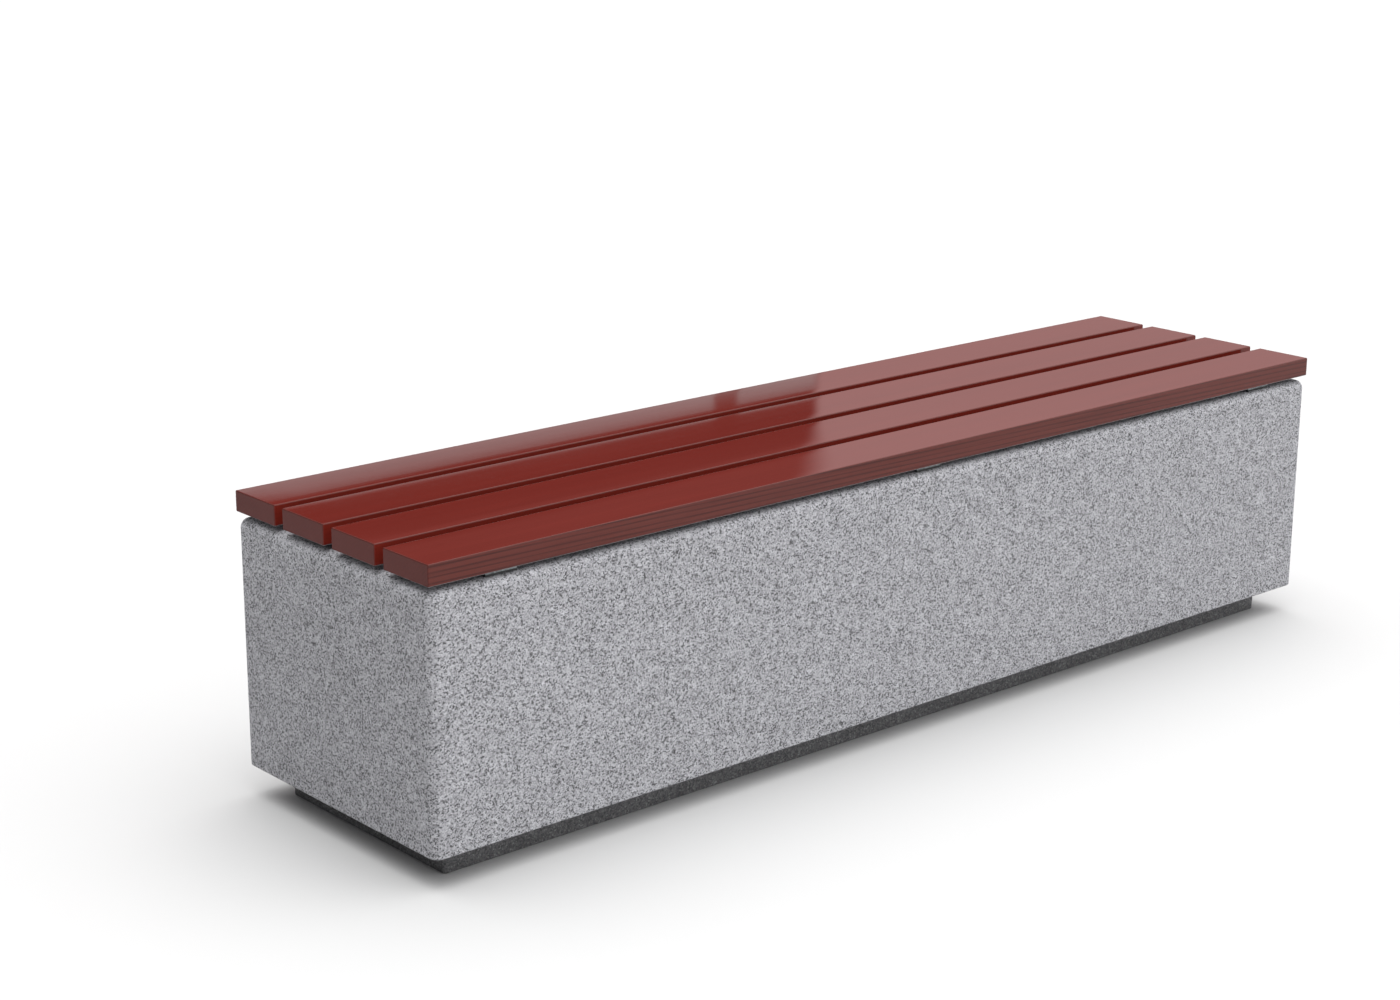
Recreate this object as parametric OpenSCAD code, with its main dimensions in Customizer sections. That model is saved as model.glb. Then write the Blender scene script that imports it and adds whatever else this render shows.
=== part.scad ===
// Backless street bench: a hollow cast concrete body on a recessed dark plinth, with four
// hardwood planks on three galvanised cross bars.
// X runs along the bench, Y across it, Z up. The origin is on the ground at the plinth's centre.

/* [Bench] */
// Overall length of the body and the planks
bench_length = 1800; // [1780:5:2100]
// Overall width of the body and of the four planks together
bench_width = 450; // [440:1:470]

/* [Concrete body] */
// Height of the body alone
body_height = 360; // [340:1:400]
// Radius of the upright corners and of the top edges
body_edge_r = 14; // [6:1:20]
// Thickness of the walls and of the roof around the foam core
wall = 90; // [88:1:95]

/* [Plinth] */
// Height of the plinth under the body
plinth_height = 45; // [40:1:60]
// How far the plinth is set back on every side
plinth_inset = 45; // [35:1:50]
// Radius of the plinth's upright corners
plinth_corner_r = 5; // [2:1:12]

/* [Seat planks] */
// Width of one plank
plank_width = 98; // [94:1:102]
// Thickness of one plank
plank_thickness = 30; // [28:1:40]
// Radius of the planks' long edges
plank_edge_r = 2; // [1:0.5:6]

/* [Cross bars] */
// Distance from the middle cross bar to each outer one
bar_spacing = 780; // [740:5:800]
// Width of a cross bar, along the bench
bar_width = 50; // [40:1:60]
// Length of a cross bar, across the bench
bar_length = 430; // [415:1:435]
// Thickness of a cross bar
bar_thickness = 5; // [5:0.5:8]
// Thickness of the rubber pad under each cross bar
pad_thickness = 3; // [2:0.5:5]

/* [Plank screws] */
// Distance between the two screws that each cross bar puts in a plank
screw_spacing = 50; // [30:1:60]
// Radius of the screw's shank
screw_r = 3; // [2.5:0.1:3]
// Radius of the countersunk head
screw_head_r = 5.75; // [5.5:0.05:6]
// How deep the screws bite into the planks
screw_bite = 22; // [15:1:24]

/* [Cross bar bolts] */
// Radius of the M8 thread
bar_bolt_r = 4; // [4:4]
// Length of the bolt under its head
bar_bolt_length = 50; // [40:1:55]
// Radius of the button head
bar_bolt_head_r = 7; // [6.5:0.1:7.5]

/* [Plinth bolts] */
// Distance from the bench's middle to the outer plinth bolts
plinth_bolt_spacing = 600; // [570:5:620]
// Radius of the M12 thread
plinth_bolt_r = 6; // [6:6]
// Length of the bolt under its head
plinth_bolt_length = 80; // [60:1:85]

/* [Lifting sockets] */
// Distance between the two lifting sockets
lift_spacing = 1040; // [1020:5:1060]
// Radius of the M16 threaded hole, measured at the tips of the thread
lift_thread_r = 7; // [6.8:0.1:7.2]

/* [Reinforcement] */
// Thickness of concrete over the reinforcement
cover = 35; // [30:1:38]
// Distance between neighbouring hairpins
hairpin_pitch = 190; // [188:1:192]

/* [Hidden] */
$fn = 48;

// How far a cutting shape runs past the face that it opens
overshoot = 1;

// Levels, from the ground up
body_bottom = plinth_height;
body_top = body_bottom + body_height;
core_top = body_top - wall;
pad_top = body_top + pad_thickness;
bar_top = pad_top + bar_thickness;

// Places across the bench: the four planks, front to back, and the gaps beside the outer two
plank_pitch = (bench_width - plank_width) / 3;
plank_y = [-1.5 * plank_pitch, -0.5 * plank_pitch, 0.5 * plank_pitch, 1.5 * plank_pitch];
bar_bolt_y = plank_pitch;

// Places along the bench
bar_x = [-bar_spacing, 0, bar_spacing];
plinth_bolt_x = [-plinth_bolt_spacing, 0, plinth_bolt_spacing];

// Plank screws: a 90 degree head in a clearance hole
screw_hole_r = 3.25;

// Bolts of the cross bars
bar_bolt_hole_r = 4.5;
bar_bolt_head_h = 4.4;
bar_bolt_head_rim = 1.2;
bar_bolt_socket_r = 2.9;
bar_bolt_socket_depth = 2.6;
bar_washer_r = 8;
bar_washer_h = 1.6;
bar_insert_r = 7;
bar_insert_foot_r = 11;
bar_insert_length = 60;
bar_insert_bore = 52;

// Bolts of the plinth, which go up from under it
counterbore_r = 14;
counterbore_depth = 16;
plinth_hole_r = 7;
plinth_bolt_head_r = 10.5;
plinth_bolt_head_h = 7.5;
plinth_washer_r = 12;
plinth_washer_hole_r = 6.5;
plinth_washer_h = 2.5;
plinth_insert_r = 10;
plinth_insert_foot_r = 14;
plinth_insert_length = 70;
plinth_insert_bore = 62;
plinth_bolt_y = bench_width / 2 - wall + (wall - plinth_inset) / 2;

// Lifting sockets, reached through the middle gap between the planks
lift_socket_r = 11;
lift_foot_r = 17;
lift_length = 80;
lift_bore = 70;

// Foot flange that every cast-in sleeve has
foot_h = 4;

// Reinforcement: bars along the bench inside hairpins that open downwards
hairpin_r = 4;
hairpin_bend_r = 20;
hairpin_leg_y = bench_width / 2 - cover - hairpin_r;
hairpin_top = body_top - cover - hairpin_r;
hairpin_foot = body_bottom + cover;
hairpin_x = [for (i = [-4.5 : 4.5]) i * hairpin_pitch];
long_bar_r = 5;
long_bar_offset = 6;
long_bar_y = hairpin_leg_y - hairpin_bend_r + long_bar_offset;
long_bar_z = [body_bottom + 100, hairpin_top - hairpin_bend_r + long_bar_offset];

// A rectangle with round corners, centred on the origin
module rounded_rect(length, width, r) {
    square([length - 2 * r, width], center = true);
    square([length, width - 2 * r], center = true);
    for (x = [-1, 1], y = [-1, 1])
        translate([x * (length / 2 - r), y * (width / 2 - r)])
            circle(r);
}

// A block that stands on Z 0, with round upright corners and round top edges
module rounded_block(length, width, height, r) {
    edge_x = length / 2 - r;
    edge_y = width / 2 - r;
    linear_extrude(height - r)
        rounded_rect(length, width, r);
    translate([-edge_x, -edge_y, 0])
        cube([2 * edge_x, 2 * edge_y, height]);
    for (y = [-edge_y, edge_y])
        translate([-edge_x, y, height - r])
            rotate([0, 90, 0])
                cylinder(r = r, h = 2 * edge_x);
    for (x = [-edge_x, edge_x])
        translate([x, -edge_y, height - r])
            rotate([-90, 0, 0])
                cylinder(r = r, h = 2 * edge_y);
    for (x = [-edge_x, edge_x], y = [-edge_y, edge_y])
        translate([x, y, height - r])
            sphere(r);
}

// Outside of a cast-in sleeve: its mouth is at Z 0 and its foot flange is below
module sleeve_outline(r, foot_r, length) {
    translate([0, 0, -length])
        cylinder(r = r, h = length);
    translate([0, 0, -length])
        cylinder(r = foot_r, h = foot_h);
}

// A cast-in sleeve with a blind threaded hole
module sleeve(r, foot_r, length, bore_r, bore_depth) {
    difference() {
        sleeve_outline(r, foot_r, length);
        translate([0, 0, -bore_depth])
            cylinder(r = bore_r, h = bore_depth + overshoot);
    }
}

module washer(r, hole_r, h) {
    difference() {
        cylinder(r = r, h = h);
        translate([0, 0, -overshoot])
            cylinder(r = hole_r, h = h + 2 * overshoot);
    }
}

// Copies its child to the six bolts of the cross bars
module at_bar_bolts() {
    for (x = bar_x, y = [-bar_bolt_y, bar_bolt_y])
        translate([x, y, 0])
            children();
}

// Copies its child to the six bolts of the plinth
module at_plinth_bolts() {
    for (x = plinth_bolt_x, y = [-plinth_bolt_y, plinth_bolt_y])
        translate([x, y, 0])
            children();
}

// Copies its child to the two lifting sockets
module at_lifting_sockets() {
    for (x = [-lift_spacing / 2, lift_spacing / 2])
        translate([x, 0, body_top])
            children();
}

// Copies its child to the two screws that a cross bar puts in the plank at plank_centre
module at_screw_pair(x, plank_centre) {
    for (side = [-0.5, 0.5])
        translate([x, plank_centre + side * screw_spacing, pad_top])
            children();
}

module reinforcing_bars() {
    color("sienna")
    for (y = [-long_bar_y, long_bar_y], z = long_bar_z)
        translate([cover - bench_length / 2, y, z])
            rotate([0, 90, 0])
                cylinder(r = long_bar_r, h = bench_length - 2 * cover);
}

// One half of a hairpin: a leg, a quarter bend and half of the top stretch
module half_hairpin() {
    bend_y = hairpin_leg_y - hairpin_bend_r;
    bend_z = hairpin_top - hairpin_bend_r;
    translate([0, hairpin_leg_y, hairpin_foot])
        cylinder(r = hairpin_r, h = bend_z - hairpin_foot);
    translate([0, bend_y, bend_z])
        rotate([90, 0, 90])
            rotate_extrude(angle = 90)
                translate([hairpin_bend_r, 0])
                    circle(hairpin_r);
    translate([0, 0, hairpin_top])
        rotate([-90, 0, 0])
            cylinder(r = hairpin_r, h = bend_y);
}

module reinforcing_hairpins() {
    color("sienna")
    for (x = hairpin_x)
        translate([x, 0, 0]) {
            half_hairpin();
            mirror([0, 1, 0])
                half_hairpin();
        }
}

module foam_core() {
    color("whitesmoke")
    translate([wall - bench_length / 2, wall - bench_width / 2, body_bottom])
        cube([bench_length - 2 * wall, bench_width - 2 * wall, core_top - body_bottom]);
}

module concrete_body() {
    color("darkgray")
    difference() {
        translate([0, 0, body_bottom])
            rounded_block(bench_length, bench_width, body_height, body_edge_r);
        translate([wall - bench_length / 2, wall - bench_width / 2, body_bottom - overshoot])
            cube([bench_length - 2 * wall, bench_width - 2 * wall, core_top - body_bottom + overshoot]);
        translate([0, 0, body_top])
            at_bar_bolts()
                sleeve_outline(bar_insert_r, bar_insert_foot_r, bar_insert_length);
        translate([0, 0, body_bottom])
            at_plinth_bolts()
                mirror([0, 0, 1])
                    sleeve_outline(plinth_insert_r, plinth_insert_foot_r, plinth_insert_length);
        at_lifting_sockets()
            sleeve_outline(lift_socket_r, lift_foot_r, lift_length);
        reinforcing_bars();
        reinforcing_hairpins();
    }
}

module plinth() {
    color("dimgray")
    difference() {
        linear_extrude(plinth_height)
            rounded_rect(bench_length - 2 * plinth_inset, bench_width - 2 * plinth_inset, plinth_corner_r);
        at_plinth_bolts()
            translate([0, 0, -overshoot]) {
                cylinder(r = counterbore_r, h = counterbore_depth + overshoot);
                cylinder(r = plinth_hole_r, h = plinth_height + 2 * overshoot);
            }
    }
}

module plank(y) {
    color("saddlebrown")
    difference() {
        translate([-bench_length / 2, y, bar_top + plank_thickness / 2])
            rotate([90, 0, 90])
                linear_extrude(bench_length)
                    rounded_rect(plank_width, plank_thickness, plank_edge_r);
        for (x = bar_x)
            at_screw_pair(x, y)
                cylinder(r = screw_r, h = bar_thickness + screw_bite);
    }
}

module cross_bar(x) {
    color("silver")
    difference() {
        translate([x - bar_width / 2, -bar_length / 2, pad_top])
            cube([bar_width, bar_length, bar_thickness]);
        for (y = [-bar_bolt_y, bar_bolt_y])
            translate([x, y, pad_top - overshoot])
                cylinder(r = bar_bolt_hole_r, h = bar_thickness + 2 * overshoot);
        for (y = plank_y)
            at_screw_pair(x, y)
                translate([0, 0, -overshoot]) {
                    cylinder(r = screw_hole_r, h = bar_thickness + 2 * overshoot);
                    cylinder(r1 = screw_head_r + overshoot, r2 = screw_hole_r,
                        h = screw_head_r + overshoot - screw_hole_r);
                }
    }
}

module bar_pad(x) {
    color("black")
    difference() {
        translate([x - bar_width / 2, -bar_length / 2, body_top])
            cube([bar_width, bar_length, pad_thickness]);
        for (y = [-bar_bolt_y, bar_bolt_y])
            translate([x, y, body_top - overshoot])
                cylinder(r = bar_bolt_hole_r, h = pad_thickness + 2 * overshoot);
    }
}

module plank_screws(x) {
    color("lightgray")
    for (y = plank_y)
        at_screw_pair(x, y) {
            cylinder(r = screw_r, h = bar_thickness + screw_bite);
            cylinder(r1 = screw_head_r, r2 = screw_r, h = screw_head_r - screw_r);
        }
}

// A button head whose domed top rises above a short straight rim
module button_head() {
    dome_h = bar_bolt_head_h - bar_bolt_head_rim;
    dome_r = (bar_bolt_head_r * bar_bolt_head_r + dome_h * dome_h) / (2 * dome_h);
    difference() {
        intersection() {
            cylinder(r = bar_bolt_head_r, h = bar_bolt_head_h);
            translate([0, 0, bar_bolt_head_h - dome_r])
                sphere(dome_r);
        }
        translate([0, 0, bar_bolt_head_h - bar_bolt_socket_depth])
            cylinder(r = bar_bolt_socket_r, h = bar_bolt_socket_depth + overshoot, $fn = 6);
    }
}

module bar_bolts() {
    color("lightgray")
    at_bar_bolts()
        translate([0, 0, bar_top + bar_washer_h]) {
            button_head();
            translate([0, 0, -bar_bolt_length])
                cylinder(r = bar_bolt_r, h = bar_bolt_length);
        }
}

module bar_bolt_washers() {
    color("lightgray")
    at_bar_bolts()
        translate([0, 0, bar_top])
            washer(bar_washer_r, bar_bolt_hole_r, bar_washer_h);
}

module bar_inserts() {
    color("darkkhaki")
    translate([0, 0, body_top])
        at_bar_bolts()
            sleeve(bar_insert_r, bar_insert_foot_r, bar_insert_length, bar_bolt_r, bar_insert_bore);
}

module plinth_bolts() {
    color("lightgray")
    at_plinth_bolts()
        translate([0, 0, counterbore_depth - plinth_washer_h]) {
            cylinder(r = plinth_bolt_r, h = plinth_bolt_length);
            translate([0, 0, -plinth_bolt_head_h])
                cylinder(r = plinth_bolt_head_r, h = plinth_bolt_head_h, $fn = 6);
        }
}

module plinth_washers() {
    color("lightgray")
    at_plinth_bolts()
        translate([0, 0, counterbore_depth - plinth_washer_h])
            washer(plinth_washer_r, plinth_washer_hole_r, plinth_washer_h);
}

module plinth_inserts() {
    color("darkkhaki")
    translate([0, 0, body_bottom])
        at_plinth_bolts()
            mirror([0, 0, 1])
                sleeve(plinth_insert_r, plinth_insert_foot_r, plinth_insert_length,
                    plinth_bolt_r, plinth_insert_bore);
}

module lifting_sockets() {
    color("darkkhaki")
    at_lifting_sockets()
        sleeve(lift_socket_r, lift_foot_r, lift_length, lift_thread_r, lift_bore);
}

concrete_body();
foam_core();
plinth();
plank(plank_y[0]);  // plank_front
plank(plank_y[1]);  // plank_mid_front
plank(plank_y[2]);  // plank_mid_back
plank(plank_y[3]);  // plank_back
cross_bar(bar_x[0]);  // cross_bar_left
cross_bar(bar_x[1]);  // cross_bar_middle
cross_bar(bar_x[2]);  // cross_bar_right
bar_pad(bar_x[0]);  // bar_pad_left
bar_pad(bar_x[1]);  // bar_pad_middle
bar_pad(bar_x[2]);  // bar_pad_right
plank_screws(bar_x[0]);  // plank_screws_left
plank_screws(bar_x[1]);  // plank_screws_middle
plank_screws(bar_x[2]);  // plank_screws_right
bar_bolts();
bar_bolt_washers();
bar_inserts();
plinth_bolts();
plinth_washers();
plinth_inserts();
lifting_sockets();
reinforcing_bars();
reinforcing_hairpins();
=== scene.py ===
"""Backless street bench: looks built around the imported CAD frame.

Four lacquered hardwood planks lie on three galvanised bars, on a granite-look concrete body
with a dark recessed plinth. Everything is in metres, in the CAD's own frame: X along the bench,
Y across it, Z up, with the ground at Z 0.
"""

import math

import bmesh
import bpy
from mathutils import Matrix, Vector

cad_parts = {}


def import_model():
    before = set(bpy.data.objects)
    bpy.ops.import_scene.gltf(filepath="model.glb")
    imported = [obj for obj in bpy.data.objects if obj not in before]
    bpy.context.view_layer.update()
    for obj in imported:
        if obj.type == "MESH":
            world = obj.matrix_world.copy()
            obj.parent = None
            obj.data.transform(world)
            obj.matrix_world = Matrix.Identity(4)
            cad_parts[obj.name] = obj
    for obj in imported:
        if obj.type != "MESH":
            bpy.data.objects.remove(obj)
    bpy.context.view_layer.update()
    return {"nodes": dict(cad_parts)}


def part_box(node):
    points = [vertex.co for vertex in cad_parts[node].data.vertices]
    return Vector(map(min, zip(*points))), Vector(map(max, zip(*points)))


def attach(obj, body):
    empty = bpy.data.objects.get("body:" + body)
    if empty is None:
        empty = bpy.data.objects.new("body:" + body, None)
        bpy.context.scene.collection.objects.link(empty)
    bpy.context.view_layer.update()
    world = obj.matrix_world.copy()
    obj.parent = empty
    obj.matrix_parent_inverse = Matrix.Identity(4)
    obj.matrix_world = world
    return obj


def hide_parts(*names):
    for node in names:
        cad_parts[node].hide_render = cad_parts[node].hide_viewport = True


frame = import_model()
NODES = frame["nodes"]

BODY = "root"

PLANKS = ["plank_front", "plank_mid_front", "plank_mid_back", "plank_back"]
BARS = ["cross_bar_left", "cross_bar_middle", "cross_bar_right"]
PADS = ["bar_pad_left", "bar_pad_middle", "bar_pad_right"]
STAINLESS_PARTS = ["plank_screws_left", "plank_screws_middle", "plank_screws_right",
                   "bar_bolts", "bar_bolt_washers", "plinth_bolts", "plinth_washers"]
ZINC_PLATED_PARTS = ["bar_inserts", "plinth_inserts", "lifting_sockets"]
BARE_STEEL_PARTS = ["reinforcing_bars", "reinforcing_hairpins"]

# Camera, as a turntable round the bench
CAMERA_AZIMUTH = -41.255  # degrees, 0 looks along +Y
CAMERA_ELEVATION = 15.88
CAMERA_ROLL = 0.262
CAMERA_DISTANCE = 3.941
CAMERA_AIM = Vector((-0.1552, 0.1150, 0.3157))
CAMERA_LENS = 66.42  # mm
CAMERA_SENSOR = 36.0  # mm wide
CAMERA_REACH = 200.0  # metres

# Shapes that the CAD leaves plain, and the holes in the replaced pieces
BODY_EDGE = 0.014
BODY_FOOT_EDGE = 0.0025
PLINTH_CORNER = 0.005
PLINTH_TOP_EDGE = 0.0015
PLINTH_FOOT_EDGE = 0.002
PLANK_EDGE = 0.002
PLANK_END_EDGE = 0.0015
LEAST_CORNER = 0.0002
LEAST_PLANK_CORNER = 0.0008
SOCKET_HOLE_RADIUS = 0.011
BOLT_HOLE_RADIUS = 0.007
BOLT_HEAD_HOLE_RADIUS = 0.014
BOLT_HEAD_HOLE_DEPTH = 0.016
CUT_MARGIN = 0.01  # how far a cutter stands out of the face that it opens
HOLE_SEGMENTS = 40
MERGE_DISTANCE = 1e-6

# How fine the meshes are
SLAB_STEP = 0.03
SLAB_ARC_STEPS = 8
SLAB_FOOT_STEPS = 3
PLANK_STEP = 0.06
PLANK_SECTION_STEP = 0.02
PLANK_ARC_STEPS = 6
PLANK_END_STEPS = 4
SLAB_SHARP_ANGLE = 35  # degrees
PLANK_SHARP_ANGLE = 40
FLAT_FACE_WEIGHT = 100

# Hardwood. The colours of the outer sides, the gap sides and the ends multiply the stain's
WOOD_DEEP = (0.110, 0.0118, 0.0074)
WOOD_PALE = (0.122, 0.0138, 0.0090)
WOOD_PORE = (0.055, 0.006, 0.004)
WOOD_UNDER_PAINTED_FILL = (0.34, 0.33, 0.34)  # painted light: the underside is pale grey, not stained, to bounce light into the shade under the planks and keep that shade lighter and neutral grey
WOOD_OUTER_SIDE = (0.95, 1.9, 2.3)  # on the seat's two long outer sides; the gap sides are painted lighter than these
# painted light: the sides facing the gaps between planks are lighter, in place of light reaching into
# the gaps
WOOD_GAP_SIDE_PAINTED_LIGHT = (1.35, 1.4, 1.4)
WOOD_END = (0.80, 1.3, 1.6)
WOOD_OUTER_PLACE = (0.21, 0.22)  # distance from the seat's centre line where the outer sides start
ARRIS_OFF_SIDE = (0.02, 0.25)  # upright part of the normal, from the sides to the long edges
ARRIS_OFF_TOP = (0.995, 0.9)  # and from the top to the long edges
WOOD_ARRIS_PAINTED_SHADE = 0.30  # painted shade: how much darker the long edges are made, to dim their highlight
WOOD_PORE_SHADE = 0.3  # how much of the pores' colour the fine pores take
WOOD_ROUGHNESS = (0.040, 0.028)  # in the fine lines' low and high parts
WOOD_ARRIS_ROUGHNESS = 0.3  # added on the long edges
WOOD_END_ROUGHNESS = 0.5  # added on the ends, where the grain drinks the lacquer
WOOD_IOR = 1.40
WOOD_SPECULAR = 0.32
# The grain runs along X. Its frequencies are per metre, along, across and up
TONE_SCALE = (1.6, 40, 40)
LINE_SCALE = (5, 420, 420)
PORE_SCALE = (28, 900, 900)
RING_SCALE = 85.0
RING_STRETCH = (0.018, 1, 1)  # times RING_SCALE
GRAIN_DEPTH = 0.95  # how much of the pores' colour the grain takes where it is plainest
RING_SHARE = 0.65
LINE_SHARE = 0.45
RING_RANGE = (0.05, 0.35)  # of the texture, from a ring's middle to the wood between rings
LINE_RANGE = (0.35, 0.62)
PORE_RANGE = (0.66, 0.74)
HIDDEN_ON_TOP = 0.80  # how much of the grain the stain hides
HIDDEN_IN_GAPS = 0.8
HIDDEN_ON_ENDS = 0.5

# Textures in general
NOISE_RANGE = (0.3, 0.7)  # where most of a noise texture's values lie
FACE_RANGE = (0.3, 0.9)  # part of the normal along an axis, from past a face's edge to on the face

# Concrete
GRIT_RANGE = (0.25, 0.75)  # where most of the fine grain's values lie
CHIP_RELIEF = 0.5  # how far the chips stand out, beside the fine grain
CHIPS_ACROSS_CLOUD = 12
CLOUD_SHADES = (0.92, 1.08)
MICA_COVER = 0.85
MICA_EDGE = (0.46, 0.32)  # from a flake's outline to its whole shade, in cells
CONCRETE_ROUGHNESS = (0.72, 0.92)

# Metal, rubber and foam
METAL_STAIN_SCALE = 60.0  # per metre
METAL_STAIN_GLOSS = (-0.06, 0.1)  # added to the roughness
METAL_CRYSTAL_GLOSS = 0.08  # the most that a crystal adds to it
BEAD_RANGE = (0.2, 0.8)  # from a bead's middle to its edge, in beads

# The studio's light, by direction: azimuth 0 is +Y and 90 is +X, and slope is rise over run along +Y
WALL_START = 43.9  # degrees of azimuth
WALL_LEVELS = (0.51, 0.70)  # at the horizon, and higher up
WALL_RISE = (11, 17)  # degrees of elevation over which the wall's level changes
WALL_TINT = (1.23, 1.0, 1.0)
WALL_TINT_AZIMUTHS = (70, 55)  # degrees, from no tint to the whole of it
WALL_BLUR = (0.12, 0.55)  # degrees, half the width of the wall's edge at the slopes below
WALL_BLUR_SLOPES = (0.340, 0.380)
DIM_COLOURS = [(0.336, (0.09, 0.05, 0.05)), (0.341, (0.07, 0.03, 0.033)),
               (0.351, (0.06, 0.037, 0.042)), (0.355, (0.01, 0.030, 0.035)),
               (0.361, (0.14, 0.065, 0.067)), (0.367, (0.18, 0.095, 0.095))]  # by slope
DIM_SLOPES = (0.32, 0.38)  # the ends of that ramp
DIM_LEVEL = 0.15  # elsewhere on the dim side
AHEAD_AZIMUTHS = (0, 15)  # degrees over which the dim side's own colours and the band come in
BAND_COLOUR = (0.56, 0.66, 0.67)
BAND_SLOPE = 0.3293  # the band's straight upper edge
BAND_BLUR = 0.004  # half the width of that edge, in slope
POST_PLACE = 41.83  # degrees of azimuth
POST_WIDTHS = (0.15, 0.35)  # degrees from its middle, where the post is whole and where it ends
POST_FOOT_SLOPES = (0.3270, 0.3235)  # between which the post fades
POST_FOOT_LEVEL = 0.45  # how much of the band shows through its foot
PANEL_LEVEL = 1.9
PANEL_SPREAD = (0.45, 1.0)  # cosines of the angle from the panel's middle
TOP_LEVEL = 3.97
TOP_ELEVATIONS = (22, 75)  # degrees, from nothing to the whole of the overhead light
TOP_FADE = (-1.05, -0.2)  # the direction's X, from next to nothing on the left to all of it
LEAST_RUN = 0.01  # keeps the slope finite
WHITE = (1.0, 1.0, 1.0)
FLOOR_ALBEDO = 0.55
FLOOR_ROUGHNESS = 0.95
FLOOR_HALF_SIZE = 60


# ---------------------------------------------------------------- node helpers


def new_material(name):
    """A material with an empty tree but for its Principled shader and output."""
    material = bpy.data.materials.new(name)
    material.use_nodes = True
    tree = material.node_tree
    tree.nodes.clear()
    output = tree.nodes.new("ShaderNodeOutputMaterial")
    shader = tree.nodes.new("ShaderNodeBsdfPrincipled")
    tree.links.new(shader.outputs["BSDF"], output.inputs["Surface"])
    return material, tree, shader


def add(tree, kind, **settings):
    """A new node, with its properties and the values of its inputs."""
    node = tree.nodes.new(kind)
    for key, value in settings.items():
        if hasattr(node, key):
            setattr(node, key, value)
        else:
            node.inputs[key.replace("_", " ")].default_value = value
    return node


def link(tree, source, target):
    tree.links.new(source, target)


def coordinates(tree, scale=(1, 1, 1)):
    """The point in the object's frame, in metres, multiplied by scale."""
    where = add(tree, "ShaderNodeTexCoord")
    mapping = add(tree, "ShaderNodeMapping")
    mapping.inputs["Scale"].default_value = scale
    link(tree, where.outputs["Object"], mapping.inputs["Vector"])
    return mapping.outputs["Vector"]


def cells(tree, point, size):
    """Voronoi cells of a size in metres."""
    node = add(tree, "ShaderNodeTexVoronoi", feature="F1", Scale=1 / size)
    link(tree, point, node.inputs["Vector"])
    return node


def random_parts(tree, cell_node):
    """Three random numbers for each cell, as the outputs Red, Green and Blue."""
    node = add(tree, "ShaderNodeSeparateColor")
    link(tree, cell_node.outputs["Color"], node.inputs["Color"])
    return node.outputs


def soft_noise(tree, point, scale, detail, roughness=0.5, distortion=0.0):
    node = add(tree, "ShaderNodeTexNoise", Scale=scale, Detail=detail, Roughness=roughness,
               Distortion=distortion)
    link(tree, point, node.inputs["Vector"])
    return node.outputs["Fac"]


def ramp(tree, source, stops):
    """A colour ramp over source. stops is a list of (position, colour)."""
    node = add(tree, "ShaderNodeValToRGB")
    elements = node.color_ramp.elements
    while len(elements) < len(stops):
        elements.new(0.5)
    for element, (position, colour) in zip(elements, stops):
        element.position = position
        element.color = (*colour, 1)
    link(tree, source, node.inputs["Fac"])
    return node.outputs["Color"]


def fill(tree, socket, value):
    """Gives an input a socket to follow, or a constant."""
    if isinstance(value, bpy.types.NodeSocket):
        link(tree, value, socket)
    elif isinstance(value, tuple):
        socket.default_value = (*value, 1)
    else:
        socket.default_value = value


def mix(tree, factor, a, b, blend="MIX"):
    """Mixes two colours. Each of the three is a socket or a constant."""
    node = add(tree, "ShaderNodeMix", data_type="RGBA", blend_type=blend)
    fill(tree, node.inputs[0], factor)
    fill(tree, node.inputs[6], a)
    fill(tree, node.inputs[7], b)
    return node.outputs[2]


def tinted(tree, colour, factor):
    """A colour multiplied by another."""
    return mix(tree, 1.0, colour, factor, "MULTIPLY")


def math_node(tree, operation, *values, clamp=False):
    node = add(tree, "ShaderNodeMath", operation=operation, use_clamp=clamp)
    for socket, value in zip(node.inputs, values):
        fill(tree, socket, value)
    return node.outputs[0]


def product(tree, *values):
    """The product of numbers, which are sockets or constants."""
    result = values[0]
    for value in values[1:]:
        result = math_node(tree, "MULTIPLY", result, value)
    return result


def rest_of(tree, value):
    """What value leaves of 1."""
    return math_node(tree, "SUBTRACT", 1.0, value)


def smooth_step(tree, source, low, high, to_low=0.0, to_high=1.0):
    node = add(tree, "ShaderNodeMapRange", interpolation_type="SMOOTHSTEP")
    link(tree, source, node.inputs["Value"])
    limits = (("From Min", low), ("From Max", high), ("To Min", to_low), ("To Max", to_high))
    for name, value in limits:
        node.inputs[name].default_value = value
    return node.outputs["Result"]


def grey_of(tree, value):
    """A grey colour from a number, which is a socket or a constant."""
    if not isinstance(value, bpy.types.NodeSocket):
        return (value, value, value)
    node = add(tree, "ShaderNodeCombineColor")
    for socket in node.inputs:
        link(tree, value, socket)
    return node.outputs["Color"]


def axes(tree, vector):
    """The outputs X, Y and Z of a vector."""
    node = add(tree, "ShaderNodeSeparateXYZ")
    link(tree, vector, node.inputs["Vector"])
    return node.outputs


def bump(tree, shader, height, distance, strength):
    node = add(tree, "ShaderNodeBump")
    node.inputs["Strength"].default_value = strength
    node.inputs["Distance"].default_value = distance
    link(tree, height, node.inputs["Height"])
    link(tree, node.outputs["Normal"], shader.inputs["Normal"])


# ---------------------------------------------------------------- materials


def mica_flakes(tree, point, size, share):
    """Where the dark flakes are: 0 between them, and MICA_COVER in the middle of the chosen cells."""
    flakes = cells(tree, point, size)
    pick = random_parts(tree, flakes)["Red"]
    chosen = smooth_step(tree, pick, share + 0.01, share - 0.01)
    middle = smooth_step(tree, flakes.outputs["Distance"], *MICA_EDGE)
    return product(tree, chosen, middle, MICA_COVER)


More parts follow.
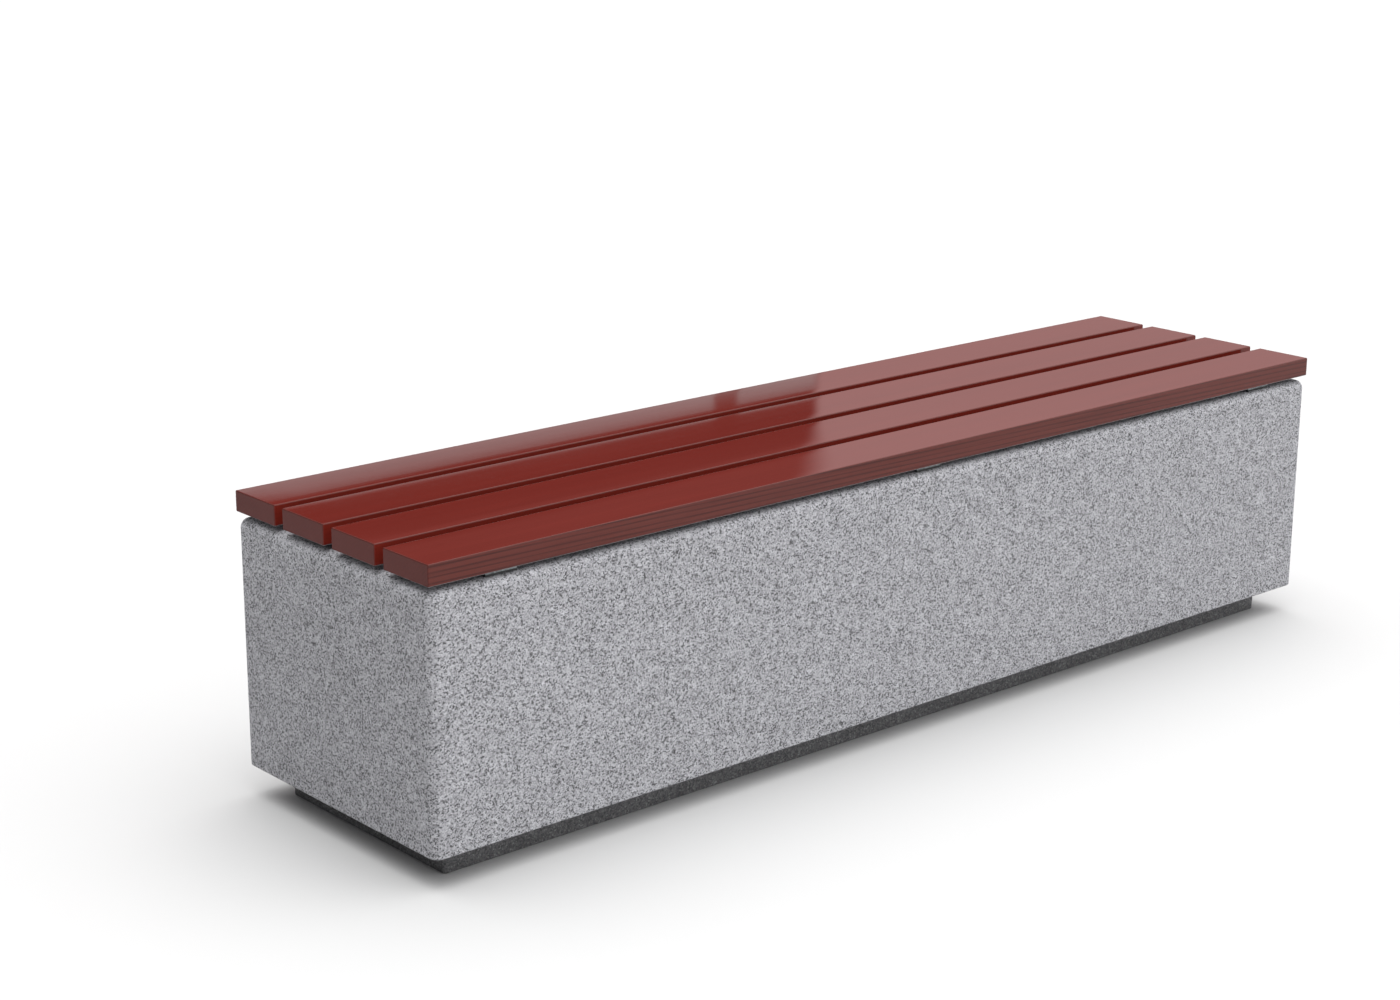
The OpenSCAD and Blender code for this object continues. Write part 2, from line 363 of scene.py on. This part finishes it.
def granite(name, stops, chip, fine, relief, tint_noise, mica, mica_share):
    """Cast stone full of crushed granite: every chip has its own grey, with dark mica between.

    chip, fine, relief and mica are sizes in metres. stops gives the greys from the darkest chip
    to the palest, and tint_noise is how far the fine grain changes them. mica_share is the part
    of the flakes' cells that hold one.
    """
    material, tree, shader = new_material(name)
    point = coordinates(tree)
    chance = random_parts(tree, cells(tree, point, chip))
    grey = ramp(tree, chance["Red"], stops)
    grain = soft_noise(tree, point, 1 / fine, detail=3.0, roughness=0.6)
    shade = smooth_step(tree, grain, *GRIT_RANGE, 1 - tint_noise, 1 + tint_noise)
    colour = tinted(tree, grey, grey_of(tree, shade))
    clouds = soft_noise(tree, point, 1 / (CHIPS_ACROSS_CLOUD * chip), detail=3.0, roughness=0.6)
    patch = smooth_step(tree, clouds, *NOISE_RANGE, *CLOUD_SHADES)
    colour = tinted(tree, colour, grey_of(tree, patch))
    colour = mix(tree, mica_flakes(tree, point, mica, mica_share), colour, stops[0][1])
    link(tree, colour, shader.inputs["Base Color"])
    rough = smooth_step(tree, chance["Green"], 0.0, 1.0, *CONCRETE_ROUGHNESS)
    link(tree, rough, shader.inputs["Roughness"])
    height = math_node(tree, "ADD", grain, product(tree, chance["Blue"], CHIP_RELIEF))
    bump(tree, shader, height, relief, strength=0.6)
    return material


def growth_rings(tree):
    rings = add(tree, "ShaderNodeTexWave", wave_type="BANDS", bands_direction="DIAGONAL",
                Scale=RING_SCALE, Distortion=7.0, Detail=3.0, Detail_Scale=0.35, Detail_Roughness=0.6)
    link(tree, coordinates(tree, RING_STRETCH), rings.inputs["Vector"])
    return rings.outputs["Fac"]


def lacquered_wood(name):
    """Hardwood along X under a glossy red-brown stain, with the grain plainest on the outer sides."""
    material, tree, shader = new_material(name)
    where = add(tree, "ShaderNodeTexCoord")
    normal = axes(tree, where.outputs["Normal"])
    place = axes(tree, where.outputs["Object"])
    # Which face a point is on
    steep = math_node(tree, "ABSOLUTE", normal["Z"])
    top = smooth_step(tree, steep, *FACE_RANGE)
    end = smooth_step(tree, math_node(tree, "ABSOLUTE", normal["X"]), *FACE_RANGE)
    outer = smooth_step(tree, math_node(tree, "ABSOLUTE", place["Y"]), *WOOD_OUTER_PLACE)
    under = smooth_step(tree, normal["Z"], *(-part for part in FACE_RANGE))
    arris = product(tree, smooth_step(tree, steep, *ARRIS_OFF_SIDE),
                    smooth_step(tree, steep, *ARRIS_OFF_TOP))
    # Grain: rings and fine lines, which the stain mostly hides on the top, the ends and in the gaps
    tone = soft_noise(tree, coordinates(tree, TONE_SCALE), 1.0, 4.0, 0.55, 0.3)
    lines = soft_noise(tree, coordinates(tree, LINE_SCALE), 1.0, 5.0, 0.65, 0.6)
    pores = soft_noise(tree, coordinates(tree, PORE_SCALE), 1.0, 2.0)
    ring = smooth_step(tree, growth_rings(tree), *RING_RANGE, 0.0, RING_SHARE)
    line = smooth_step(tree, lines, *LINE_RANGE, 0.0, LINE_SHARE)
    pore = smooth_step(tree, pores, *PORE_RANGE)
    grain = math_node(tree, "ADD", ring, line)
    hidden = math_node(tree, "MAXIMUM", product(tree, top, HIDDEN_ON_TOP),
                       product(tree, end, HIDDEN_ON_ENDS))
    in_gaps = math_node(tree, "SUBTRACT", HIDDEN_IN_GAPS, outer)
    hidden = math_node(tree, "MAXIMUM", hidden, in_gaps)
    depth = product(tree, rest_of(tree, grain), product(tree, rest_of(tree, hidden), GRAIN_DEPTH))
    # Colour
    base = ramp(tree, tone, list(zip(NOISE_RANGE, (WOOD_DEEP, WOOD_PALE))))
    colour = mix(tree, depth, base, WOOD_PORE)
    colour = mix(tree, product(tree, pore, WOOD_PORE_SHADE), colour, WOOD_PORE)
    # painted light: the gap sides get a lighter colour than the outer sides, in place of light in the
    # gaps
    side = mix(tree, outer, WOOD_GAP_SIDE_PAINTED_LIGHT, WOOD_OUTER_SIDE)
    side = mix(tree, end, side, WOOD_END)
    stain = mix(tree, top, side, WHITE)
    # painted shade: the long edges are darkened to dim the highlight on them
    arris_painted_shade = rest_of(tree, product(tree, arris, WOOD_ARRIS_PAINTED_SHADE))
    stain = tinted(tree, stain, grey_of(tree, arris_painted_shade))
    colour = tinted(tree, colour, stain)
    # painted light: the underside takes a pale grey that brightens the shade under the planks
    colour = mix(tree, under, colour, WOOD_UNDER_PAINTED_FILL)
    link(tree, colour, shader.inputs["Base Color"])
    # Gloss
    rough = smooth_step(tree, lines, *NOISE_RANGE, *WOOD_ROUGHNESS)
    dull = math_node(tree, "ADD", product(tree, end, WOOD_END_ROUGHNESS),
                     product(tree, arris, WOOD_ARRIS_ROUGHNESS))
    link(tree, math_node(tree, "ADD", rough, dull), shader.inputs["Roughness"])
    shader.inputs["IOR"].default_value = WOOD_IOR
    shader.inputs["Specular IOR Level"].default_value = WOOD_SPECULAR
    height = math_node(tree, "SUBTRACT", product(tree, grain, 0.5), product(tree, pore, 0.4))
    bump(tree, shader, height, distance=0.000005, strength=0.5)
    return material


def metal(name, colour, rough, spangle, contrast):
    """Bare or zinc-coated steel: crystals of different shade and gloss.

    spangle is a crystal's size in metres, and contrast is how much darker the darkest ones are.
    """
    material, tree, shader = new_material(name)
    point = coordinates(tree)
    chance = random_parts(tree, cells(tree, point, spangle))
    dark = tuple(part * (1 - contrast) for part in colour)
    link(tree, mix(tree, chance["Red"], dark, colour), shader.inputs["Base Color"])
    shader.inputs["Metallic"].default_value = 1.0
    stain = soft_noise(tree, point, METAL_STAIN_SCALE, detail=4.0)
    dull = smooth_step(tree, stain, *NOISE_RANGE, *(rough + change for change in METAL_STAIN_GLOSS))
    gloss = math_node(tree, "ADD", dull, product(tree, chance["Green"], METAL_CRYSTAL_GLOSS))
    link(tree, gloss, shader.inputs["Roughness"])
    bump(tree, shader, stain, distance=0.0001, strength=0.4)
    return material


def soft_matter(name, colour, spot, rough, grain, relief):
    """Rubber or foam: an even colour with a fine grain or beads. grain and relief are in metres."""
    material, tree, shader = new_material(name)
    beads = cells(tree, coordinates(tree), grain).outputs["Distance"]
    shade = mix(tree, smooth_step(tree, beads, *BEAD_RANGE), colour, spot)
    link(tree, shade, shader.inputs["Base Color"])
    shader.inputs["Roughness"].default_value = rough
    bump(tree, shader, beads, relief, strength=0.7)
    return material


CONCRETE = granite(
    "granite_concrete",
    [(0.0, (0.051, 0.051, 0.054)), (0.10, (0.108, 0.108, 0.114)), (0.25, (0.245, 0.245, 0.261)),
     (0.6, (0.368, 0.368, 0.391)), (1.0, (0.475, 0.475, 0.503))],
    chip=0.0019, fine=0.0012, relief=0.0003, tint_noise=0.32, mica=0.0036, mica_share=0.11)
DARK_CONCRETE = granite(
    "dark_concrete",
    [(0.0, (0.062, 0.062, 0.064)), (0.4, (0.105, 0.105, 0.108)), (0.85, (0.145, 0.145, 0.150)),
     (1.0, (0.22, 0.22, 0.225))],
    chip=0.0022, fine=0.0014, relief=0.0003, tint_noise=0.20, mica=0.005, mica_share=0.02)
WOOD = lacquered_wood("lacquered_hardwood")
GALVANISED = metal("galvanised_steel", (0.27, 0.295, 0.30), rough=0.55, spangle=0.003, contrast=0.6)
STAINLESS = metal("stainless_steel", (0.62, 0.61, 0.60), rough=0.28, spangle=0.0008, contrast=0.10)
ZINC_PLATED = metal("zinc_plated_steel", (0.62, 0.58, 0.47), rough=0.33, spangle=0.0012,
                    contrast=0.15)
BARE_STEEL = metal("reinforcing_steel", (0.21, 0.13, 0.09), rough=0.6, spangle=0.003, contrast=0.45)
RUBBER = soft_matter("epdm_rubber", (0.020, 0.020, 0.021), (0.035, 0.035, 0.036), rough=0.82,
                     grain=0.0015, relief=0.0001)
FOAM = soft_matter("white_foam", (0.82, 0.82, 0.81), (0.68, 0.68, 0.67), rough=0.85,
                   grain=0.004, relief=0.0004)


# ---------------------------------------------------------------- mesh helpers


def piece_from(bm, name, material):
    """Turns a bmesh into an object that is linked to the scene."""
    bmesh.ops.recalc_face_normals(bm, faces=bm.faces)
    mesh = bpy.data.meshes.new(name)
    bm.to_mesh(mesh)
    bm.free()
    mesh.materials.append(material)
    piece = bpy.data.objects.new(name, mesh)
    bpy.context.scene.collection.objects.link(piece)
    return piece


def rounding(radius, steps):
    """A quarter circle, as (distance from the end, inset of the section) pairs from its inner end."""
    pairs = []
    for i in range(steps + 1):
        angle = math.pi / 2 * i / steps
        pairs.append((radius * (1 - math.sin(angle)), radius * (1 - math.cos(angle))))
    return pairs


def stations(low, high, low_rounding, high_rounding, step):
    """Places along one axis: dense round the two rounded ends and evenly spread between them.

    Each rounding is a radius and a number of steps. Returns (place, inset) pairs. inset is how far
    the section is pulled in there by the rounding.
    """
    start = [(low + reach, inset) for reach, inset in reversed(rounding(*low_rounding))]
    finish = [(high - reach, inset) for reach, inset in rounding(*high_rounding)]
    first, last = start[-1][0], finish[0][0]
    count = max(1, round((last - first) / step))
    middle = [(first + (last - first) * i / count, 0.0) for i in range(1, count)]
    return start + middle + finish


def rounded_outline(half_u, half_v, radius, arc_steps, step):
    """Points round a rectangle with round corners, counter-clockwise, step apart on its sides."""
    points = []
    sides = [(half_u, half_v, 0), (-half_u, half_v, 90), (-half_u, -half_v, 180),
             (half_u, -half_v, 270)]
    for index, (u, v, start) in enumerate(sides):
        centre = Vector((math.copysign(half_u - radius, u), math.copysign(half_v - radius, v)))
        for i in range(arc_steps + 1):
            angle = math.radians(start + 90 * i / arc_steps)
            points.append(centre + radius * Vector((math.cos(angle), math.sin(angle))))
        length = 2 * ((half_u if index % 2 == 0 else half_v) - radius)
        count = max(1, round(length / step))
        turn = math.radians(start + 90)
        heading = Vector((-math.sin(turn), math.cos(turn)))
        corner = points[-1]
        points += [corner + heading * length * i / count for i in range(1, count)]
    return points


def skin(bm, rings):
    """Faces between each ring of vertices and the next, and over the first and the last."""
    for near, far in zip(rings, rings[1:]):
        for i in range(len(near)):
            j = (i + 1) % len(near)
            bm.faces.new((near[i], near[j], far[j], far[i]))
    bm.faces.new(rings[-1])
    bm.faces.new(list(reversed(rings[0])))


def apply_modifiers(piece):
    bpy.context.view_layer.update()
    graph = bpy.context.evaluated_depsgraph_get()
    done = bpy.data.meshes.new_from_object(piece.evaluated_get(graph))
    piece.modifiers.clear()
    piece.data = done


def cut(piece, cutter):
    """Takes the cutter's volume out of the piece, and deletes the cutter."""
    modifier = piece.modifiers.new("cut", "BOOLEAN")
    modifier.operation = "DIFFERENCE"
    modifier.solver = "EXACT"
    modifier.object = cutter
    apply_modifiers(piece)
    bpy.data.objects.remove(cutter)


def drill(centres, radius, low, high):
    """A cutter made of upright cylinders."""
    bm = bmesh.new()
    for x, y in centres:
        place = Matrix.Translation((x, y, (low + high) / 2))
        bmesh.ops.create_cone(bm, cap_ends=True, segments=HOLE_SEGMENTS, radius1=radius,
                              radius2=radius, depth=high - low, matrix=place)
    return piece_from(bm, "cutter", CONCRETE)


def block(low, high):
    """A cutter in the shape of a box."""
    bm = bmesh.new()
    bmesh.ops.create_cube(bm, size=1.0)
    bm.transform(Matrix.Translation((low + high) / 2) @ Matrix.Diagonal((*(high - low), 1)))
    return piece_from(bm, "cutter", CONCRETE)


def smooth_by_angle(piece, degrees):
    """Smooth shading, with hard edges past the angle and flat faces flat up to their roundings."""
    mesh = piece.data
    for polygon in mesh.polygons:
        polygon.use_smooth = True
    mesh.set_sharp_from_angle(angle=math.radians(degrees))
    modifier = piece.modifiers.new("flat_faces", "WEIGHTED_NORMAL")
    modifier.mode = "FACE_AREA"
    modifier.weight = FLAT_FACE_WEIGHT
    modifier.keep_sharp = True
    apply_modifiers(piece)


def centres_of(node):
    """Centres, across X and Y, of the separate solids in a CAD node."""
    bm = bmesh.new()
    bm.from_mesh(NODES[node].data)
    bmesh.ops.remove_doubles(bm, verts=bm.verts, dist=MERGE_DISTANCE)
    left, found = set(bm.verts), []
    while left:
        stack, island = [left.pop()], []
        while stack:
            vert = stack.pop()
            island.append(vert.co.copy())
            for edge in vert.link_edges:
                other = edge.other_vert(vert)
                if other in left:
                    left.remove(other)
                    stack.append(other)
        xs, ys = [point.x for point in island], [point.y for point in island]
        found.append(((min(xs) + max(xs)) / 2, (min(ys) + max(ys)) / 2))
    bm.free()
    return sorted(found)


def stand_for(piece, node):
    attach(piece, BODY)
    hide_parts(node)


# ---------------------------------------------------------------- pieces


def rounded_slab(name, low, high, corner, top_edge, foot_edge, material):
    """A block with round upright corners, a rounded top edge and a small radius at its foot."""
    centre, half = (low + high) / 2, (high - low) / 2
    levels = stations(low.z, high.z, (foot_edge, SLAB_FOOT_STEPS), (top_edge, SLAB_ARC_STEPS), SLAB_STEP)
    bm = bmesh.new()
    rings = []
    for z, inset in levels:
        radius = max(corner - inset, LEAST_CORNER)
        outline = rounded_outline(half.x - inset, half.y - inset, radius, SLAB_ARC_STEPS, SLAB_STEP)
        rings.append([bm.verts.new((centre.x + p.x, centre.y + p.y, z)) for p in outline])
    skin(bm, rings)
    return piece_from(bm, name, material)


def concrete_body():
    low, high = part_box("concrete_body")
    piece = rounded_slab("granite_block", low, high, BODY_EDGE, BODY_EDGE, BODY_FOOT_EDGE, CONCRETE)
    core_low, core_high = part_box("foam_core")
    cut(piece, block(core_low - Vector((0, 0, CUT_MARGIN)), core_high))
    socket_low, socket_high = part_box("lifting_sockets")
    sockets = centres_of("lifting_sockets")
    cut(piece, drill(sockets, SOCKET_HOLE_RADIUS, socket_low.z, socket_high.z + CUT_MARGIN))
    smooth_by_angle(piece, SLAB_SHARP_ANGLE)
    stand_for(piece, "concrete_body")


def plinth():
    low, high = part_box("plinth")
    piece = rounded_slab("dark_plinth", low, high, PLINTH_CORNER, PLINTH_TOP_EDGE, PLINTH_FOOT_EDGE,
                         DARK_CONCRETE)
    bolts = centres_of("plinth_bolts")
    below = low.z - CUT_MARGIN
    cut(piece, drill(bolts, BOLT_HEAD_HOLE_RADIUS, below, low.z + BOLT_HEAD_HOLE_DEPTH))
    cut(piece, drill(bolts, BOLT_HOLE_RADIUS, below, high.z + CUT_MARGIN))
    smooth_by_angle(piece, SLAB_SHARP_ANGLE)
    stand_for(piece, "plinth")


def plank(node):
    """A board with round arrises along its length and softened end edges."""
    low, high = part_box(node)
    centre, half = (low + high) / 2, (high - low) / 2
    end = (PLANK_END_EDGE, PLANK_END_STEPS)
    bm = bmesh.new()
    rings = []
    for x, inset in stations(low.x, high.x, end, end, PLANK_STEP):
        radius = max(PLANK_EDGE - inset / 2, LEAST_PLANK_CORNER)
        outline = rounded_outline(half.y - inset, half.z - inset, radius, PLANK_ARC_STEPS,
                                  PLANK_SECTION_STEP)
        rings.append([bm.verts.new((x, centre.y + p.x, centre.z + p.y)) for p in outline])
    skin(bm, rings)
    piece = piece_from(bm, node.replace("plank", "seat_board"), WOOD)
    smooth_by_angle(piece, PLANK_SHARP_ANGLE)
    stand_for(piece, node)


def finish_cad(nodes, material):
    """Gives CAD nodes a real material. Their shape stays as it is."""
    for node in nodes:
        slots = NODES[node].data.materials
        slots.clear()
        slots.append(material)


# ---------------------------------------------------------------- floor, light and camera


def floor():
    material, tree, shader = new_material("studio_floor")
    shader.inputs["Base Color"].default_value = (FLOOR_ALBEDO, FLOOR_ALBEDO, FLOOR_ALBEDO, 1)
    shader.inputs["Roughness"].default_value = FLOOR_ROUGHNESS
    shader.inputs["Specular IOR Level"].default_value = 0.0
    bm = bmesh.new()
    bmesh.ops.create_grid(bm, x_segments=1, y_segments=1, size=FLOOR_HALF_SIZE)
    piece = piece_from(bm, "studio_floor", material)
    if piece.data.polygons[0].normal.z < 0:
        piece.data.flip_normals()


def in_degrees(tree, angle):
    return product(tree, angle, 180 / math.pi)


def dim_side(tree, slope, ahead):
    """The dim side: its own colours ahead, by slope, and one grey elsewhere."""
    low, high = DIM_SLOPES
    above = math_node(tree, "SUBTRACT", slope, low)
    height = math_node(tree, "MULTIPLY", above, 1 / (high - low), clamp=True)
    stops = [((rise - low) / (high - low), colour) for rise, colour in DIM_COLOURS]
    return mix(tree, ahead, grey_of(tree, DIM_LEVEL), ramp(tree, height, stops))


def wall_colour(tree, azimuth, elevation):
    """The pale wall's colour, which is redder near its edge."""
    level = smooth_step(tree, elevation, *WALL_RISE, *WALL_LEVELS)
    tint = mix(tree, smooth_step(tree, azimuth, *WALL_TINT_AZIMUTHS), WHITE, WALL_TINT)
    return tinted(tree, grey_of(tree, level), tint)


def past_wall_edge(tree, azimuth, slope):
    """0 on the dim side and 1 on the wall, with an edge that is softer higher up."""
    softness = smooth_step(tree, slope, *WALL_BLUR_SLOPES, *WALL_BLUR)
    past = math_node(tree, "DIVIDE", math_node(tree, "SUBTRACT", azimuth, WALL_START), softness)
    return smooth_step(tree, past, -1, 1)


def low_band(tree, azimuth, slope, ahead):
    """How much of the low pale band shows: all below its edge, but for the dark post in it."""
    under_edge = smooth_step(tree, slope, BAND_SLOPE + BAND_BLUR, BAND_SLOPE - BAND_BLUR)
    from_post = math_node(tree, "ABSOLUTE", math_node(tree, "SUBTRACT", azimuth, POST_PLACE))
    beside_post = smooth_step(tree, from_post, *POST_WIDTHS)
    under_post = smooth_step(tree, slope, *POST_FOOT_SLOPES, 0.0, POST_FOOT_LEVEL)
    clear = math_node(tree, "MAXIMUM", beside_post, under_post)
    return product(tree, under_edge, ahead, clear)


def world():
    """A soft studio: a big overhead light, a panel to the front right, a pale wall and a dim side."""
    studio = bpy.data.worlds.new("studio")
    bpy.context.scene.world = studio
    studio.use_nodes = True
    tree = studio.node_tree
    tree.nodes.clear()
    output = add(tree, "ShaderNodeOutputWorld")
    where = add(tree, "ShaderNodeTexCoord")
    heading = axes(tree, where.outputs["Generated"])
    x, y, z = heading["X"], heading["Y"], heading["Z"]
    azimuth = in_degrees(tree, math_node(tree, "ARCTAN2", x, y))
    elevation = in_degrees(tree, math_node(tree, "ARCSINE", z))
    slope = math_node(tree, "DIVIDE", z, math_node(tree, "MAXIMUM", y, LEAST_RUN))
    ahead = smooth_step(tree, azimuth, *AHEAD_AZIMUTHS)
    # The horizon: the dim side, the wall that starts sharply on the right, and the low band
    wall_share = past_wall_edge(tree, azimuth, slope)
    horizon = mix(tree, wall_share, dim_side(tree, slope, ahead), wall_colour(tree, azimuth, elevation))
    band = product(tree, low_band(tree, azimuth, slope, ahead), rest_of(tree, wall_share))
    horizon = mix(tree, band, horizon, BAND_COLOUR)
    # The panel to the front right, whose middle is halfway between +X and -Y
    toward = product(tree, math_node(tree, "SUBTRACT", x, y), math.sqrt(0.5))
    panel = product(tree, smooth_step(tree, toward, *PANEL_SPREAD), PANEL_LEVEL)
    low = mix(tree, 1.0, horizon, grey_of(tree, panel), "LIGHTEN")
    # The overhead light, which is weaker on the left
    overhead = smooth_step(tree, elevation, *TOP_ELEVATIONS)
    top_level = product(tree, smooth_step(tree, x, *TOP_FADE), TOP_LEVEL)
    sky = mix(tree, overhead, low, grey_of(tree, top_level))
    # The camera sees a white background
    seen = add(tree, "ShaderNodeLightPath")
    shown = mix(tree, seen.outputs["Is Camera Ray"], sky, WHITE)
    background = add(tree, "ShaderNodeBackground")
    link(tree, shown, background.inputs["Color"])
    link(tree, background.outputs["Background"], output.inputs["Surface"])


def camera():
    data = bpy.data.cameras.new("camera")
    data.lens = CAMERA_LENS
    data.sensor_width = CAMERA_SENSOR
    data.clip_end = CAMERA_REACH
    view = bpy.data.objects.new("camera", data)
    bpy.context.scene.collection.objects.link(view)
    azimuth, elevation = math.radians(CAMERA_AZIMUTH), math.radians(CAMERA_ELEVATION)
    roll = math.radians(CAMERA_ROLL)
    back = Vector((math.sin(azimuth) * math.cos(elevation), -math.cos(azimuth) * math.cos(elevation),
                   math.sin(elevation)))
    level_right = Vector((math.cos(azimuth), math.sin(azimuth), 0))
    level_up = back.cross(level_right)
    right = math.cos(roll) * level_right + math.sin(roll) * level_up
    up = math.cos(roll) * level_up - math.sin(roll) * level_right
    turn = Matrix((right, up, back)).transposed().to_4x4()
    view.matrix_world = Matrix.Translation(CAMERA_AIM + back * CAMERA_DISTANCE) @ turn
    bpy.context.scene.camera = view


concrete_body()
plinth()
for name in PLANKS:
    plank(name)
finish_cad(BARS, GALVANISED)
finish_cad(PADS, RUBBER)
finish_cad(STAINLESS_PARTS, STAINLESS)
finish_cad(ZINC_PLATED_PARTS, ZINC_PLATED)
finish_cad(BARE_STEEL_PARTS, BARE_STEEL)
finish_cad(["foam_core"], FOAM)

floor()
world()
camera()
bpy.context.scene.view_settings.view_transform = "Standard"
